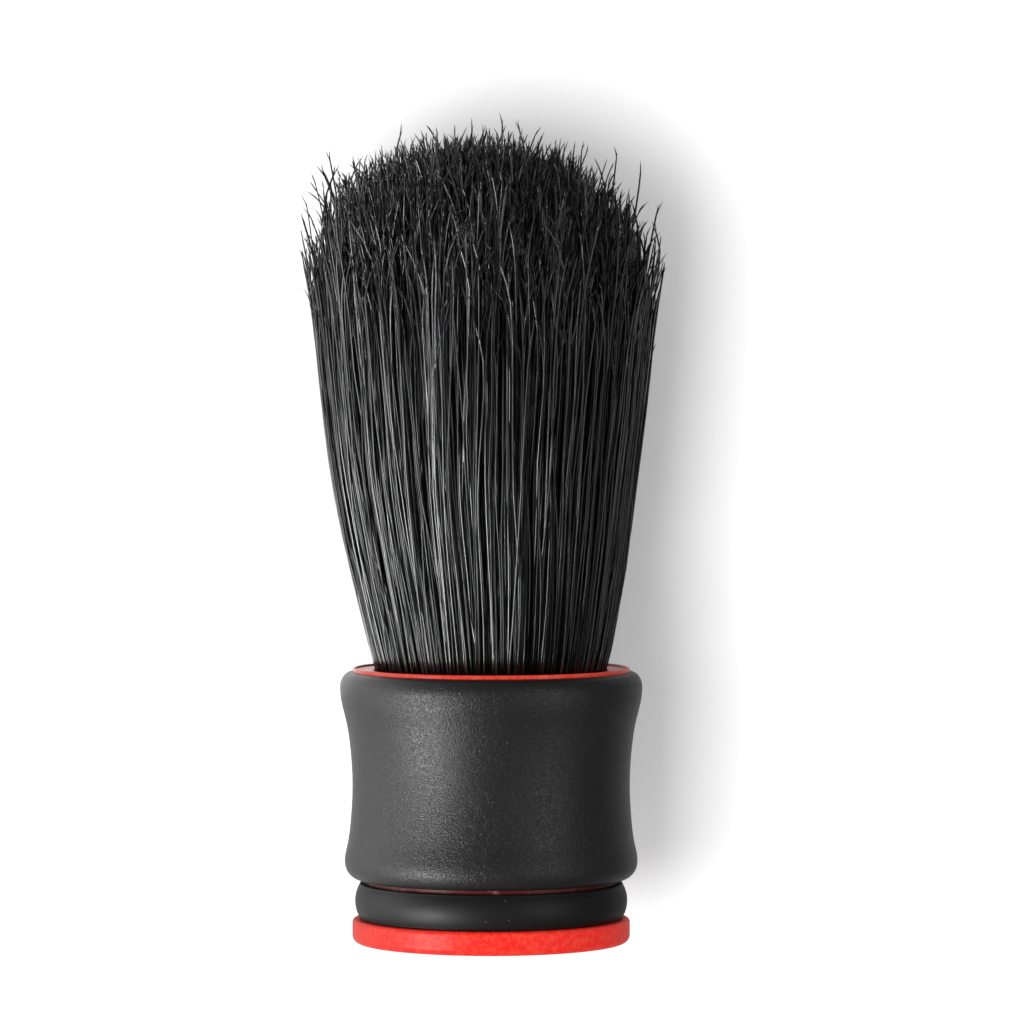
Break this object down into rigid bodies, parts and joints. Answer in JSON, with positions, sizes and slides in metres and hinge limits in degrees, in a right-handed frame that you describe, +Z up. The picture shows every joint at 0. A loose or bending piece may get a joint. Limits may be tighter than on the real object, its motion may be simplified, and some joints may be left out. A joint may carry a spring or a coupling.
{
  "type": "shaving brush",
  "caption": "Shaving brush with a waisted rubber grip on a red plastic core, a round red foot and a domed fan of black fibre bristles that bends at the rim.",
  "frame": {"origin": "centre of the foot's underside, on the surface that the brush stands on", "axes": "+Z up the brush's axis from the foot to the bristle tips; +X and +Y square to it, and the bristles bend about Y"},
  "size_m": [0.043, 0.043, 0.1],
  "materials": {
    "red_plastic": "satin moulded red plastic",
    "black_plastic": "fine satin black plastic",
    "grip_rubber": "soft matt rubber with a fine leather-like grain",
    "seal_rubber": "smooth nitrile rubber",
    "cup_plastic": "plain moulded black plastic",
    "resin": "clear amber casting resin",
    "adhesive": "set epoxy",
    "binding_cord": "waxed twisted cord",
    "bristle": "fine black synthetic filament with a soft sheen"
  },
  "bodies": {
    "handle": {"base_cap": "red_plastic", "base_seal": "seal_rubber", "lower_band": "black_plastic", "handle_core": "red_plastic", "grip_sleeve": "grip_rubber", "socket_glue": "adhesive", "knot_cup": "cup_plastic", "resin_plug": "resin", "knot_binding": "binding_cord", "bristle_root": "bristle"},
    "tuft": {"bristle_tuft": "bristle"}
  },
  "joints": [
    {"name": "bristle_bend", "type": "hinge", "parent": "handle", "child": "tuft", "pos_m": [0, 0, 0.0343], "axis": [0, 1, 0], "range_deg": [-18, 18], "stiffness_Nm_per_rad": 0.3}
  ]
}
